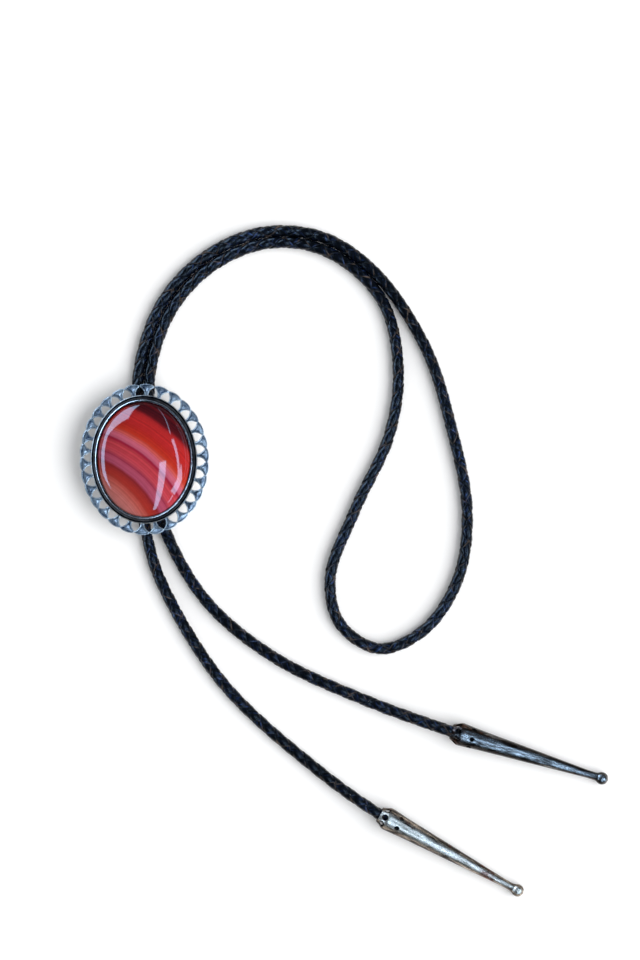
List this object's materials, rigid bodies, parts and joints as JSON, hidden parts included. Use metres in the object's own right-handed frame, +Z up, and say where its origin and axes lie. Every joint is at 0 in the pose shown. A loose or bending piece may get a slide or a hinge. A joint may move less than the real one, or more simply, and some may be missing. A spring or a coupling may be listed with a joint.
{
  "type": "bolo tie",
  "caption": "Bolo tie lying flat: an oval banded stone in a pierced scalloped slide on a braided leather cord with tapered metal tips.",
  "frame": {"origin": "middle of the underside of the clip on the slide's back, on the surface that the tie lies on", "axes": "+Z up from the surface through the stone; +Y along the slide's long axis towards the loop that goes round the neck; +X to the right seen from above"},
  "size_m": [0.1959, 0.2584, 0.0162],
  "materials": {
    "slide_metal": "antiqued silver-tone white metal, dark in the recesses, polished bezel",
    "stone": "polished banded agate, red, pink and mauve",
    "clip_metal": "plain satin white metal",
    "cord_leather": "black leather laces, round braid, waxed",
    "tip_left_metal": "worn silver-tone white metal with a brown stain near the end",
    "tip_right_metal": "darkened silver-tone white metal with brown patina"
  },
  "bodies": {
    "root": {"setting": "slide_metal", "cabochon": "stone", "cord_clip": "clip_metal", "cord": "cord_leather", "tip_left": "tip_left_metal", "tip_right": "tip_right_metal"}
  },
  "joints": []
}
